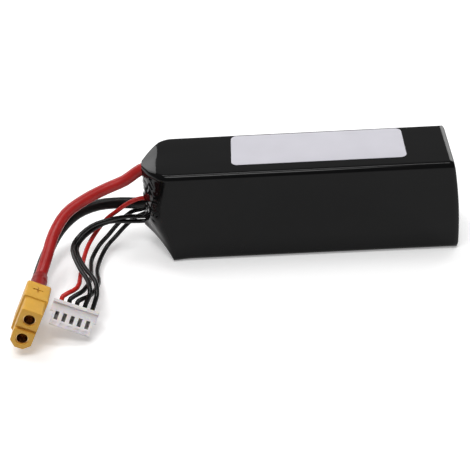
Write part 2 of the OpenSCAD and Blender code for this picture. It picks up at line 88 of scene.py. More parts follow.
class FilmSettings(bpy.types.PropertyGroup):
    """Sizes and looks of the shrunk film and its label"""

    thickness: length("Film thickness", "Thickness of the shrunk film", 0.25 * MM)
    edge_radius: length("Edge radius", "Radius along the film's long edges", 2.0 * MM)
    taper: length("Taper", "Length of the end that narrows to the mouth", 10.0 * MM)
    rake: length("Rake", "How much further back the top of that end lies than its foot", 1.5 * MM)
    mouth_width: length("Mouth width", "Width of the mouth that the leads leave by", 6.0 * MM)
    mouth_low: length("Mouth foot", "Height of the mouth's lower end", 8.2 * MM)
    mouth_drop: length("Mouth drop", "Depth of the mouth's upper end under the roof", 1.8 * MM)
    end_reach: length("End reach", "How much further the closed end reaches at its foot", 3.4 * MM)
    end_crown: length("End crown", "Crown of the closed end", 0.8 * MM)
    fold_depth: length("Fold depth", "Depth of the folds round the mouth", 0.9 * MM)
    black: colour("Film colour", "Colour of the film", (0.0048, 0.0048, 0.0050))
    gloss_roughness: factor("Film roughness", "Roughness of the film's gloss", 0.07)
    label: colour("Label colour", "Colour of the blank label", (0.60, 0.59, 0.64))


class CordSettings(bpy.types.PropertyGroup):
    """Sizes and looks of the leads, the balance wires and the sleeves"""

    lead_diameter: length("Lead diameter", "Diameter of a power lead", 3.9 * MM)
    wire_diameter: length("Wire diameter", "Diameter of a balance wire", 1.5 * MM)
    sides: IntProperty(name="Sides", description="Sides of a cord's tube", default=24, min=8, max=64)
    red: colour("Lead red", "Colour of the positive lead", (0.44, 0.018, 0.017))
    wire_red: colour("Wire red", "Colour of the first balance wire", (0.50, 0.016, 0.012))
    black: colour("Jacket black", "Colour of the black jackets", (0.005, 0.005, 0.005))


class PlugSettings(bpy.types.PropertyGroup):
    """Sizes and looks of the two plugs"""

    moulded_edge: length("Moulded edge", "Radius on the edges of the power plug", 0.35 * MM)
    small_edge: length("Small edge", "Radius on the edges of the balance plug", 0.12 * MM)
    sign_size: length("Sign size", "Length of the plus sign's arms, end to end", 3.2 * MM)
    sign_width: length("Sign width", "Width of the plus sign's arms", 0.55 * MM)
    sign_depth: length("Sign depth", "How deep the plus sign is cut", 1.0 * MM)
    sign_place: length("Sign place", "Distance from the plug's rear to the plus sign", 3.9 * MM)
    yellow: colour("Power plug colour", "Colour of the power plug", (0.74, 0.40, 0.050))
    white: colour("Balance plug colour", "Colour of the balance plug", (0.90, 0.86, 0.87))


class StageSettings(bpy.types.PropertyGroup):
    """The floor, the lamps and the camera"""

    floor: colour("Floor colour", "Colour of the floor", (0.93, 0.93, 0.93))
    floor_lift: factor("Floor lift", "Light that the floor adds of its own", 0.27)
    key_power: power("Key power", "Power of the key lamp", 3.4)
    strip_power: power("Strip power", "Power of the strip lamp", 2.9)
    rim_power: power("Rim power", "Power of each rim lamp", 2.2)
    back_power: power("Back power", "Power of the back lamp", 0.8)
    world_level: factor("World level", "Level of the light from all round", 0.15)
    lens: FloatProperty(name="Lens", description="Focal length, in millimetres", default=86.0, min=1.0)


# ---- Helpers ----

def deselect_all():
    """Leaves nothing selected, in object mode."""
    if bpy.context.object and bpy.context.object.mode != "OBJECT":
        bpy.ops.object.mode_set(mode="OBJECT")
    bpy.ops.object.select_all(action="DESELECT")


def make_active(piece):
    """Leaves only this piece selected and active."""
    deselect_all()
    piece.select_set(True)
    bpy.context.view_layer.objects.active = piece


def settle(piece):
    """Puts the piece's place into its mesh, so that its object sits at the origin."""
    make_active(piece)
    bpy.ops.object.transform_apply(location=True, rotation=True, scale=True)


def smooth(piece, angle):
    """Shades the piece smooth, apart from edges sharper than the angle, in degrees."""
    make_active(piece)
    bpy.ops.object.shade_smooth_by_angle(angle=math.radians(angle))


def apply_modifier(piece, kind, **values):
    """Adds a modifier with the given values and applies it."""
    make_active(piece)
    modifier = piece.modifiers.new(kind.title(), kind)
    for key, value in values.items():
        setattr(modifier, key, value)
    bpy.ops.object.modifier_apply(modifier=modifier.name)


def soften_edges(piece, radius, segments, sharp=30):
    """Rounds the edges that are sharper than this angle, in degrees."""
    apply_modifier(
        piece, "BEVEL", width=radius, segments=segments, limit_method="ANGLE",
        angle_limit=math.radians(sharp), use_clamp_overlap=True,
    )


def finish_piece(piece, material, replaced):
    """Gives the piece its material, and puts it in a node's place on the frame."""
    piece.data.materials.clear()
    piece.data.materials.append(material)
    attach(piece, "root")
    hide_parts(replaced)
    deselect_all()


def paint_node(name, material):
    """Gives a node of the frame, which keeps its shape, a better material."""
    node = bpy.data.objects[name]
    node.data.materials.clear()
    node.data.materials.append(material)


def mesh_piece(name, points, faces):
    """A new object from points and faces."""
    mesh = bpy.data.meshes.new(name)
    mesh.from_pydata([tuple(point) for point in points], [], faces)
    mesh.update()
    piece = bpy.data.objects.new(name, mesh)
    bpy.context.scene.collection.objects.link(piece)
    return piece


def bell(value, middle, reach):
    """A bell curve: 1 at the middle, 0.37 at its reach and then towards 0."""
    return math.exp(-(((value - middle) / reach) ** 2))


MERGE_DISTANCE = 0.002 * MM    # for the loose corners of a node's triangles
FLAT_ANGLE = 1.5               # degrees between faces that count as one flat face


def copy_of_node(node, name):
    """A merged copy of a node, with its flat faces whole again."""
    source = bpy.data.objects[node]
    piece = source.copy()
    piece.data = source.data.copy()
    piece.name = name
    for key in list(piece.keys()):
        if key.startswith("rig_"):
            del piece[key]
    piece.parent = None
    piece.matrix_world = Matrix.Identity(4)
    bpy.context.scene.collection.objects.link(piece)
    make_active(piece)
    bpy.ops.object.mode_set(mode="EDIT")
    bpy.ops.mesh.select_all(action="SELECT")
    bpy.ops.mesh.remove_doubles(threshold=MERGE_DISTANCE)
    bpy.ops.mesh.dissolve_limited(angle_limit=math.radians(FLAT_ANGLE))
    bpy.ops.object.mode_set(mode="OBJECT")
    return piece


# ---- Materials ----

class Finish:
    """A material under construction: one principled shader and the nodes that feed it."""

    def __init__(self, name, **values):
        self.material = bpy.data.materials.new(name)
        self.material.use_nodes = True
        self.tree = self.material.node_tree
        self.shader = self.tree.nodes["Principled BSDF"]
        for key, value in values.items():
            self.shader.inputs[key.replace("_", " ")].default_value = value
        self.place = self.node("ShaderNodeTexCoord").outputs["Object"]

    def node(self, kind, inputs=None, **values):
        """A new node, with attributes and with input values or links."""
        made = self.tree.nodes.new(kind)
        for key, value in values.items():
            setattr(made, key, value)
        for key, value in (inputs or {}).items():
            if isinstance(value, bpy.types.NodeSocket):
                self.tree.links.new(value, made.inputs[key])
            else:
                made.inputs[key].default_value = value
        return made

    def noise(self, size, detail=3.0, roughness=0.55, stretch=(1, 1, 1)):
        """Noise with features of about this size, in metres."""
        mapping = self.node("ShaderNodeMapping", {"Vector": self.place, "Scale": stretch})
        inputs = {
            "Vector": mapping.outputs["Vector"], "Scale": 1 / size, "Detail": detail, "Roughness": roughness,
        }
        return self.node("ShaderNodeTexNoise", inputs).outputs["Fac"]

    def spread(self, value, low, high):
        """Maps noise from its usual range, 0.3 to 0.7, to low..high."""
        inputs = {"Value": value, "From Min": 0.3, "From Max": 0.7, "To Min": low, "To Max": high}
        return self.node("ShaderNodeMapRange", inputs).outputs["Result"]

    def cloud(self, shade, size, dark, light):
        """Clouds the colour between a darker and a lighter level of its shade."""
        value = self.spread(self.noise(size), 0, 1)
        made = self.node("ShaderNodeMix", data_type="RGBA")
        self.tree.links.new(value, made.inputs["Factor"])
        made.inputs["A"].default_value = (*scaled(shade, dark), 1)
        made.inputs["B"].default_value = (*scaled(shade, light), 1)
        self.tree.links.new(made.outputs["Result"], self.shader.inputs["Base Color"])

    def wear(self, roughness, size, least, most):
        """Varies the roughness between two levels of its middle value."""
        value = self.spread(self.noise(size), roughness * least, roughness * most)
        self.tree.links.new(value, self.shader.inputs["Roughness"])

    def bump(self, *layers):
        """Stacks bumps, each a value, a height in metres and a strength."""
        normal = None
        for value, height, strength in layers:
            inputs = {"Height": value, "Distance": height, "Strength": strength}
            if normal:
                inputs["Normal"] = normal
            normal = self.node("ShaderNodeBump", inputs).outputs["Normal"]
        self.tree.links.new(normal, self.shader.inputs["Normal"])


def scaled(shade, level):
    """A colour made lighter or darker."""
    return tuple(min(1.0, channel * level) for channel in shade)


def film_finish(name, shade, roughness):
    """Glossy film: a smooth skin with a faint orange peel and shallow drawn-in waves."""
    finish = Finish(name, IOR=1.46, Specular_IOR_Level=0.16)
    finish.cloud(shade, size=18 * MM, dark=0.9, light=1.15)
    finish.wear(roughness, size=9 * MM, least=0.8, most=1.2)
    long_waves = finish.noise(11 * MM, 2.0, stretch=(0.35, 1, 1))
    orange_peel = finish.noise(0.7 * MM, 2.0)
    finish.bump((long_waves, 0.25 * MM, 0.3), (orange_peel, 0.004 * MM, 0.2))
    return finish.material


def label_finish(name, shade, roughness):
    """Satin label film, with a faint mottle."""
    finish = Finish(name, Specular_IOR_Level=0.20)
    finish.cloud(shade, size=12 * MM, dark=0.97, light=1.03)
    finish.wear(roughness, size=3 * MM, least=0.84, most=1.12)
    grain = finish.noise(0.35 * MM)
    finish.bump((grain, 0.01 * MM, 0.3))
    return finish.material


def jacket_finish(name, shade, roughness, gloss):
    """Silicone jacket: soft sheen, faint waves and dust-fine grain."""
    finish = Finish(name, Specular_IOR_Level=gloss)
    finish.cloud(shade, size=5 * MM, dark=0.85, light=1.15)
    finish.wear(roughness, size=1.5 * MM, least=0.85, most=1.15)
    faint_waves = finish.noise(1.4 * MM, 2.0)
    grain = finish.noise(0.15 * MM)
    finish.bump((faint_waves, 0.04 * MM, 0.3), (grain, 0.008 * MM, 0.3))
    return finish.material


def moulded_finish(name, shade, roughness, glow):
    """Moulded nylon: slight cloudiness under the skin and a fine matte grain."""
    finish = Finish(
        name, Specular_IOR_Level=0.4, Subsurface_Weight=glow, Subsurface_Radius=(1.0, 0.7, 0.4),
        Subsurface_Scale=0.6 * MM,
    )
    finish.cloud(shade, size=4 * MM, dark=0.93, light=1.05)
    finish.wear(roughness, size=0.8 * MM, least=0.85, most=1.15)
    flow = finish.noise(1.1 * MM)
    grain = finish.noise(0.12 * MM)
    finish.bump((flow, 0.02 * MM, 0.3), (grain, 0.006 * MM, 0.35))
    return finish.material


def metal_finish(name, shade, roughness, contrast=1.1):
    """Bare or plated metal, with fine drawn lines and a mottle: a little tarnish at the usual contrast, and
    painted glints and shade at a high one.
    """
    finish = Finish(name, Metallic=1.0)
    finish.cloud(shade, size=1.2 * MM, dark=0.8 / contrast, light=contrast)
    finish.wear(roughness, size=0.4 * MM, least=0.8, most=1.3)
    drawn_lines = finish.noise(0.25 * MM, stretch=(0.1, 1, 1))
    finish.bump((drawn_lines, 0.004 * MM, 0.4))
    return finish.material


def tape_finish(name, shade, roughness):
    """Tape, foam or laminate, with a fine weave-like grain."""
    finish = Finish(name, Specular_IOR_Level=0.4)
    finish.cloud(shade, size=2 * MM, dark=0.85, light=1.12)
    finish.wear(roughness, size=0.6 * MM, least=0.85, most=1.15)
    grain = finish.noise(0.3 * MM)
    finish.bump((grain, 0.02 * MM, 0.4))
    return finish.material


# ---- Places of the mouth and the plugs ----

# Each plug's place, with X counted from the mouth, and its turn about X, Y and Z, in degrees
POWER_PLUG_PLACE = (-33.5 * MM, -39.5 * MM, 7.824 * MM)
POWER_PLUG_TURN = (-26, -9, -89)
BALANCE_PLUG_PLACE = (-18.2 * MM, -45.7 * MM, 11.452 * MM)
BALANCE_PLUG_TURN = (-28, 39, -116)

SOCKET_PITCH = 7.2 * MM
CUP_LENGTH = 3 * MM           # of a solder cup behind the power plug
CONTACT_PITCH = 2.5 * MM
CONTACT_DEPTH = 3.325 * MM    # of the contacts' middle under the rear lip's top edge


def mouth_x():
    """X of the plane that the mouth's foot would lie in at the height of the floor."""
    film = bpy.context.scene.battery_film
    return FILM_LOW.x - film.rake * film.mouth_low / FILM_HIGH.z


def plug_frame(offset, turn):
    """Frame of a plug, with X towards its mating face."""
    place = Vector((mouth_x() + offset[0], offset[1], offset[2]))
    angles = [math.radians(angle) for angle in turn]
    return Matrix.Translation(place) @ Euler(angles, "XYZ").to_matrix().to_4x4()


def power_plug_frame():
    """Frame of the power plug, Z towards the positive socket, from the middle of its rear."""
    return plug_frame(POWER_PLUG_PLACE, POWER_PLUG_TURN)


def balance_plug_frame():
    """Frame of the balance plug, Z out of its top, from the middle of its rear lip's top edge."""
    return plug_frame(BALANCE_PLUG_PLACE, BALANCE_PLUG_TURN)


# ---- Cords ----

JOINT_DX = 5.3 * MM         # from the mouth's plane to the start of each cord on its joint
LEAD_STRAIGHT = 7.5 * MM    # straight stretch of a lead behind its solder cup
WIRE_STRAIGHT = 1.5 * MM    # straight stretch of a wire behind the balance plug
WIRE_SEAT = 0.3 * MM        # how far a wire reaches into the balance plug
CURVE_STEPS = 3             # of a cord's curve between two of its points

POSITIVE_POINTS = [
    (JOINT_DX, 0, 0.031), (0.001, 0, 0.030), (-0.0045, -0.0015, 0.027), (-0.011, -0.003, 0.025),
    (-0.018, -0.005, 0.0225), (-0.0245, -0.0085, 0.0195), (-0.0285, -0.014, 0.0155),
    (-0.0305, -0.022, 0.012),
]
NEGATIVE_POINTS = [
    (JOINT_DX, 0, 0.01875), (0.0005, 0, 0.0165), (-0.007, 0.0005, 0.0165), (-0.015, 0.0005, 0.016),
    (-0.0225, -0.0005, 0.0135), (-0.0285, -0.004, 0.0095), (-0.032, -0.011, 0.0065),
    (-0.034, -0.019, 0.0045),
]
WIRE_POINTS = [
    [
        (JOINT_DX, -0.0033, 0.020), (0.0005, -0.0015, 0.0195), (-0.004, -0.0025, 0.0185),
        (-0.0085, -0.003, 0.0155), (-0.012, -0.0035, 0.013), (-0.0155, -0.007, 0.0105),
        (-0.018, -0.0125, 0.009), (-0.019, -0.019, 0.0085), (-0.019, -0.0285, 0.0095),
        (-0.019, -0.0375, 0.0115),
    ],
    [
        (JOINT_DX, 0.0033, 0.015), (0.0005, 0.0015, 0.013), (-0.004, 0.0005, 0.0125),
        (-0.009, -0.0025, 0.0095), (-0.012, -0.0055, 0.0075), (-0.015, -0.009, 0.006),
        (-0.017, -0.0145, 0.005), (-0.017, -0.019, 0.0055), (-0.016, -0.028, 0.0075),
        (-0.017, -0.0385, 0.011),
    ],
    [
        (JOINT_DX, 0.0033, 0.0125), (0.0005, 0.0015, 0.011), (-0.003, 0.0005, 0.010),
        (-0.0065, -0.0015, 0.008), (-0.0095, -0.004, 0.006), (-0.0125, -0.0075, 0.0045),
        (-0.0145, -0.013, 0.0035), (-0.015, -0.0205, 0.004), (-0.0135, -0.029, 0.006),
        (-0.015, -0.0385, 0.009),
    ],
    [
        (JOINT_DX, -0.0033, 0.014), (0.0005, -0.001, 0.0115), (-0.005, -0.0035, 0.0135),
        (-0.011, -0.007, 0.015), (-0.0165, -0.010, 0.015), (-0.021, -0.0145, 0.0135),
        (-0.022, -0.020, 0.013), (-0.0185, -0.030, 0.013), (-0.0155, -0.036, 0.013),
        (-0.0145, -0.041, 0.012),
    ],
    [
        (JOINT_DX, -0.0033, 0.0115), (0.0005, -0.001, 0.0095), (-0.005, -0.0035, 0.0115),
        (-0.011, -0.006, 0.0135), (-0.016, -0.009, 0.013), (-0.020, -0.0135, 0.012),
        (-0.021, -0.0185, 0.0115), (-0.0175, -0.0275, 0.0115), (-0.0135, -0.0345, 0.0115),
        (-0.0125, -0.0405, 0.011),
    ],
]


def route_to(plug, points, ends):
    """Points counted from the mouth, then points in a plug's own frame, all in the pack's frame."""
    start = Vector((mouth_x(), 0, 0))
    return [start + Vector(point) for point in points] + [plug @ Vector(end) for end in ends]


def lead_route(points, side):
    """Route of a power lead, up to its solder cup."""
    height = side * SOCKET_PITCH / 2
    ends = [(-CUP_LENGTH - LEAD_STRAIGHT, 0, height), (-CUP_LENGTH, 0, height)]
    return route_to(power_plug_frame(), points, ends)


def wire_route(index):
    """Route of a balance wire, into its entry in the plug."""
    across = (index - (len(WIRE_POINTS) - 1) / 2) * CONTACT_PITCH
    ends = [(-WIRE_STRAIGHT, across, -CONTACT_DEPTH), (WIRE_SEAT, across, -CONTACT_DEPTH)]
    return route_to(balance_plug_frame(), WIRE_POINTS[index], ends)


def curved(points, start, finish):
    """One smooth curve through the points, that leaves and arrives by the given directions."""
    spans = [(b - a).length for a, b in zip(points, points[1:])]
    inner_slopes = [
        (points[i + 1] - points[i - 1]) / (spans[i - 1] + spans[i]) for i in range(1, len(points) - 1)
    ]
    slopes = [start, *inner_slopes, finish]
    path = []
    for i, span in enumerate(spans):
        for k in range(CURVE_STEPS):
            t = k / CURVE_STEPS
            path.append(
                points[i] * (2 * t**3 - 3 * t**2 + 1) + slopes[i] * span * (t**3 - 2 * t**2 + t)
                + points[i + 1] * (3 * t**2 - 2 * t**3) + slopes[i + 1] * span * (t**3 - t**2)
            )
    path.append(points[-1])
    return path


def tube(name, path, radius, sides, start, finish):
    """A closed tube along a path, with rings that turn as little as they can."""
    last = len(path) - 1
    headings = [(path[min(i + 1, last)] - path[max(i - 1, 0)]).normalized() for i in range(last + 1)]
    headings[0], headings[last] = start, finish
    across = headings[0].orthogonal().normalized()
    points, faces = [], []
    for i, ahead in enumerate(headings):
        across = (across - across.dot(ahead) * ahead).normalized()
        up = ahead.cross(across)
        for k in range(sides):
            angle = 2 * math.pi * k / sides
            points.append(path[i] + radius * (math.cos(angle) * across + math.sin(angle) * up))
    for i in range(last):
        near, far = i * sides, (i + 1) * sides
        for k in range(sides):
            n = (k + 1) % sides
            faces.append((near + k, near + n, far + n, far + k))
    faces.append(tuple(reversed(range(sides))))
    faces.append(tuple(range(last * sides, (last + 1) * sides)))
    return mesh_piece(name, points, faces)


def add_cord(name, route, diameter, material, heading):
    """A lead or wire along its route."""
    start = Vector((-1, 0, 0))
    path = curved(route, start, heading)
    sides = bpy.context.scene.battery_cords.sides
    piece = tube(name, path, diameter / 2, sides, start, heading)
    smooth(piece, 50)
    finish_piece(piece, material, name.replace("_jacket", ""))


class BATTERY_OT_leads(bpy.types.Operator):
    """Adds the two power leads between the film's mouth and the power plug"""

    bl_idname = "battery.leads"
    bl_label = "Add Power Leads"

    def execute(self, context):
        cords = context.scene.battery_cords
        heading = power_plug_frame().to_3x3() @ Vector((1, 0, 0))
        red = jacket_finish("red_silicone_jacket", cords.red, roughness=0.34, gloss=0.30)
        black = jacket_finish("black_silicone_jacket", cords.black, roughness=0.36, gloss=0.25)
        for side, points, material in ((1, POSITIVE_POINTS, red), (-1, NEGATIVE_POINTS, black)):
            pole = "positive" if side > 0 else "negative"
            add_cord(
                f"{pole}_lead_jacket", lead_route(points, side), cords.lead_diameter, material,
                heading,
            )
        return {"FINISHED"}


class BATTERY_OT_wires(bpy.types.Operator):
    """Adds the balance wires between the film's mouth and the balance plug"""

    bl_idname = "battery.wires"
    bl_label = "Add Balance Wires"

    def execute(self, context):
        cords = context.scene.battery_cords
        heading = balance_plug_frame().to_3x3() @ Vector((1, 0, 0))
        red = jacket_finish("red_wire_jacket", cords.wire_red, roughness=0.28, gloss=0.30)
        black = jacket_finish("black_wire_jacket", cords.black, roughness=0.24, gloss=0.30)
        for index in range(len(WIRE_POINTS)):
            first = index == 0
            add_cord(
                f"balance_wire_{index + 1}_jacket", wire_route(index), cords.wire_diameter,
                red if first else black, heading,
            )
        return {"FINISHED"}


SLEEVE_WALL = 0.42 * MM
SLEEVE_PLAY = 0.05 * MM       # between a lead and its sleeve
SLEEVE_START = -10.1 * MM     # X of the sleeve's ends in the power plug's frame
SLEEVE_END = -0.1 * MM
SLEEVE_RINGS = 40
SLEEVE_SIDES = 40
SLEEVE_SHADE = 0.66           # of its colour, as a share of the lead's


class BATTERY_OT_sleeves(bpy.types.Operator):
    """Adds the shrunk sleeves over the ends of the power leads"""

    bl_idname = "battery.sleeves"
    bl_label = "Add Sleeves"

    def execute(self, context):
        cords = context.scene.battery_cords
        pair = ((1, "positive", "red", cords.red), (-1, "negative", "black", cords.black))
        for side, pole, tone, lead_shade in pair:
            piece = self.sleeve(f"{pole}_shrink_sleeve", side, cords.lead_diameter / 2)
            shade = scaled(lead_shade, SLEEVE_SHADE)
            material = jacket_finish(f"{pole}_sleeve_film", shade, roughness=0.40, gloss=0.20)
            finish_piece(piece, material, f"{pole}_sleeve")
        return {"FINISHED"}

    def sleeve(self, name, side, lead_radius):
        """An open tube with a swell, a waist and a wider collar over the solder cup."""
        long = SLEEVE_END - SLEEVE_START
        deselect_all()
        bpy.ops.mesh.primitive_cylinder_add(
            vertices=SLEEVE_SIDES, radius=lead_radius + SLEEVE_PLAY, depth=long,
            end_fill_type="NOTHING", location=(0, 0, 0), rotation=(0, math.pi / 2, 0),
        )
        piece = bpy.context.object
        piece.name = name
        settle(piece)
        for k in range(1, SLEEVE_RINGS):
            self.cut_across(piece, -long / 2 + long * k / SLEEVE_RINGS)
        make_active(piece)
        for point in piece.data.vertices:
            outwards = Vector((0, point.co.y, point.co.z)).normalized()
            point.co += outwards * self.swelling(point.co.x / long + 0.5, side)
        apply_modifier(piece, "SOLIDIFY", thickness=SLEEVE_WALL, offset=1.0, use_even_offset=True)
        middle = Matrix.Translation(((SLEEVE_START + SLEEVE_END) / 2, 0, side * SOCKET_PITCH / 2))
        piece.matrix_world = power_plug_frame() @ middle
        settle(piece)
        smooth(piece, 40)
        return piece

    @staticmethod
    def swelling(share, side):
        """How far the sleeve stands off its bore, at a share of its length from the lead's end."""
        swell = 0.20 * MM * bell(share, 0.26, 0.14)
        waist = -0.05 * MM * bell(share, 0.62, 0.05)
        collar = 0.14 * MM / (1 + math.exp(-(share - 0.74) / 0.02))
        ripple = 0.03 * MM * math.sin(share * 26 + side) * share * (1 - share) * 4
        return max(0.0, swell + waist + collar + ripple)

    @staticmethod
    def cut_across(piece, at):
        """One cut square to X."""
        make_active(piece)
        bpy.ops.object.mode_set(mode="EDIT")
        bpy.ops.mesh.select_all(action="SELECT")
        bpy.ops.mesh.bisect(plane_co=(at, 0, 0), plane_no=(1, 0, 0))
        bpy.ops.object.mode_set(mode="OBJECT")


# ---- Shrink film ----

# Rows along the film's parts, and points round its corners and along its sides
TAPER_ROWS = 44
BODY_ROWS = 60
END_ROWS = 20
CORNER_POINTS = 10
SIDE_POINTS = {"tall": 72, "wide": 30}

ROUNDEST = 0.9               # most of a section's half width that a corner's radius may take
END_STRIP = 1.2 * MM         # half the width of the strip in the middle of the closed end

# The tapered end's outlines, each a power of a share of its length
FOOT_HOLLOW = 2.2            # of the foot, which comes down to the floor
ROOF_EASE = 1.15             # of the roof, which rises from the mouth
ROOF_SHARE = 0.55            # share of the length in which the roof rises
SECTION_BULGE = 1.8          # of the drawn section's width
EDGE_BULGE = 2.2             # of the sides, at the roof
MIDDLE_BULGE = 1.6           # added to that half way up
FOOT_BULGE = 0.8             # taken off it at the foot

# Patterns of smooth noise, each a share of the distance along X, a size, a seed and octaves
CALM_WAVES = (0.35, 9 * MM, 1.0, 2)
MOUTH_FOLDS = (0.4, 7 * MM, 2.0, 1)
MOUTH_CRUMPLES = (0.6, 3.4 * MM, 4.0, 2)

CALM_DEPTH = 0.05 * MM       # of the waves all over the film
FOLD_REACH = 6 * MM          # of the folds, from the mouth
CRUMPLE_REACH = 4.2 * MM     # of the crumples, from the mouth
CRUMPLE_HEIGHT = 21 * MM     # of the crumples' middle
CRUMPLE_BAND = 12 * MM       # from their middle to where they end
FLARE = 0.8 * MM             # how far the shoulder's foot is drawn out at the front
FLARE_REACH = 3.5 * MM       # along X, to both sides of the shoulder
FLARE_RISE = 1.5 * MM        # up the side


def on_arc(centre, radius, degrees):
    """A point on an arc."""
    angle = math.radians(degrees)
    return centre[0] + radius * math.cos(angle), centre[1] + radius * math.sin(angle)


def film_section(width, low, high, radius):
    """Points of one cross-section: a rounded rectangle, from the back side up and over the roof."""
    radius = min(radius, width / 2 * ROUNDEST)
    side, top, foot = width / 2 - radius, high - radius, low + radius
    centres = [(side, top), (-side, top), (-side, foot), (side, foot)]
    section = []
    for q, centre in enumerate(centres):
        section += [on_arc(centre, radius, 90 * (q + k / CORNER_POINTS)) for k in range(CORNER_POINTS + 1)]
        y, z = section[-1]
        next_y, next_z = on_arc(centres[(q + 1) % 4], radius, 90 * (q + 1))
        count = SIDE_POINTS["wide" if q % 2 == 0 else "tall"]
        for k in range(1, count):
            t = k / count
            section.append((y * (1 - t) + next_y * t, z * (1 - t) + next_z * t))
    return section


def waves(along, place, pattern):
    """Smooth noise of one of the patterns, from about -1 to 1, with this distance along X."""
    share, size, seed, octaves = pattern
    point = Vector((along * share, place.y, place.z))
    return noise.fractal(point / size + Vector((seed, seed * 2, seed * 3)), 1.0, 2.0, octaves)


def hump(value, middle, reach):
    """A smooth bump, 1 at the middle and 0 beyond its reach."""
    away = min(1.0, abs(value - middle) / reach)
    return (1 - away * away) ** 2


class BATTERY_OT_film(bpy.types.Operator):
    """Adds the shrunk film: straight along the cells, drawn in to the mouth and closed at the far end"""

    bl_idname = "battery.film"
    bl_label = "Add Shrink Film"

    def execute(self, context):
        film = context.scene.battery_film
        rear = FILM_HIGH.x - self.end_depth(film)
        rows = [self.taper_row(film, k / TAPER_ROWS) for k in range(TAPER_ROWS)]
        rows += [self.body_row(film, rear, k / BODY_ROWS) for k in range(BODY_ROWS)]
        rows += [self.end_row(film, rear, k / END_ROWS) for k in range(END_ROWS + 1)]
        piece = self.skin(rows)
        self.draw_in(piece, film)
        apply_modifier(piece, "SOLIDIFY", thickness=film.thickness, offset=-1.0)
        smooth(piece, 60)
        material = film_finish("gloss_black_film", film.black, film.gloss_roughness)
        finish_piece(piece, material, "shrink_wrap")
        return {"FINISHED"}

    @staticmethod
    def width():
        """Width of the film along the cells."""
        return FILM_HIGH.y - FILM_LOW.y

    @staticmethod
    def height():
        """Height of the film along the cells."""
        return FILM_HIGH.z

    def lean(self, film, z):
        """How far back the tapered end's rows lie at a height."""
        return film.rake * z / self.height()

    def reach(self, film, z):
        """How far the closed end's rim lies behind the straight part at a height."""
        return film.end_reach * (1 - (z / self.height()) ** 2)

    @staticmethod
    def crown(film, v):
        """How far the closed end stands out past its rim (0), towards its middle (1)."""
        return film.end_crown * (1 - (1 - v) ** 3) ** (1 / 3)

    def end_depth(self, film):
        """Depth of the closed end at its deepest place, of nine from its rim to its middle."""
        inset = self.width() / 2 - END_STRIP
        shares = [k / 8 for k in range(9)]
        return max(self.reach(film, inset * v) + self.crown(film, v) for v in shares)

    def taper_row(self, film, t):
        """A row of the tapered end, from the mouth (0) to full size (1)."""
        spread = self.width() - film.mouth_width
        low = film.mouth_low * (1 - t ** FOOT_HOLLOW)
        high = self.height() - film.mouth_drop * max(0.0, 1 - t / ROOF_SHARE) ** ROOF_EASE
        crisp = film.mouth_width + spread * (1 - (1 - t) ** SECTION_BULGE)
        row = []
        for y, z in film_section(crisp, low, high, film.edge_radius):
            share = (z - low) / (high - low)
            middle = MIDDLE_BULGE * hump(share, 0.5, 0.45)
            foot = FOOT_BULGE * hump(share, 0.0, 0.35)
            bulge = EDGE_BULGE + middle - foot
            soft = film.mouth_width + spread * (1 - (1 - t) ** bulge)
            x = mouth_x() + t * film.taper + self.lean(film, z)
            row.append(Vector((x, y * soft / crisp, z)))
        return row

    def body_row(self, film, rear, t):
        """A row along the cells, from the tapered end (0) to the closed end's rim (1)."""
        row = []
        for y, z in film_section(self.width(), 0, self.height(), film.edge_radius):
            front_x = mouth_x() + film.taper + self.lean(film, z)
            rear_x = rear + self.reach(film, z)
            row.append(Vector((front_x * (1 - t) + rear_x * t, y, z)))
        return row

    def end_row(self, film, rear, v):
        """A row of the closed end, from its rim (0) to its middle (1)."""
        inset = v * (self.width() / 2 - END_STRIP)
        section = film_section(
            self.width() - 2 * inset, inset, self.height() - inset, film.edge_radius + inset / 3,
        )
        return [Vector((rear + self.reach(film, z) + self.crown(film, v), y, z)) for y, z in section]

    @staticmethod
    def skin(rows):
        """Faces between the rows, with a fan over the last one."""
        count = len(rows[0])
        points = [point for row in rows for point in row]
        faces = []
        for i in range(len(rows) - 1):
            near, far = i * count, (i + 1) * count
            for k in range(count):
                n = (k + 1) % count
                faces.append((near + k, far + k, far + n, near + n))
        last = (len(rows) - 1) * count
        points.append(sum(rows[-1], Vector()) / count)
        centre = len(points) - 1
        for k in range(count):
            faces.append((last + k, centre, last + (k + 1) % count))
        piece = mesh_piece("shrunk_film", points, faces)
        make_active(piece)
        bpy.ops.object.mode_set(mode="EDIT")
        bpy.ops.mesh.select_all(action="SELECT")
        bpy.ops.mesh.normals_make_consistent(inside=False)
        bpy.ops.object.mode_set(mode="OBJECT")
        return piece

    @staticmethod
    def sink(film, place, past_mouth):
        """How deep the film lies: calm waves all over, and folds and crumples near the mouth."""
        calm = CALM_DEPTH * (0.5 + 0.5 * waves(place.x, place, CALM_WAVES))
        fold = bell(past_mouth, 0, FOLD_REACH) * (0.5 + 0.5 * waves(past_mouth, place, MOUTH_FOLDS))
        band = hump(place.z, CRUMPLE_HEIGHT, CRUMPLE_BAND) ** 0.5
        ridge = (1 - abs(waves(past_mouth, place, MOUTH_CRUMPLES))) ** 2
        crumple = bell(past_mouth, 0, CRUMPLE_REACH) * band * ridge
        return max(0.0, calm + film.fold_depth * (fold + crumple) / 2)

    def draw_in(self, piece, film):
        """Sinks the film between its folds, and draws out the shoulder's foot at the front."""
        normals = [vertex.normal.copy() for vertex in piece.data.vertices]
        start = mouth_x()
        for vertex, normal in zip(piece.data.vertices, normals):
            place = vertex.co.copy()
            past_mouth = max(0.0, place.x - start - self.lean(film, place.z))
            vertex.co = place - normal * self.sink(film, place, past_mouth)
            if vertex.co.y < 0:
                low_down = math.exp(-vertex.co.z / FLARE_RISE)
                vertex.co.y -= FLARE * bell(past_mouth, film.taper, FLARE_REACH) * low_down


LABEL_EDGE = 0.04 * MM    # radius on the label's edges


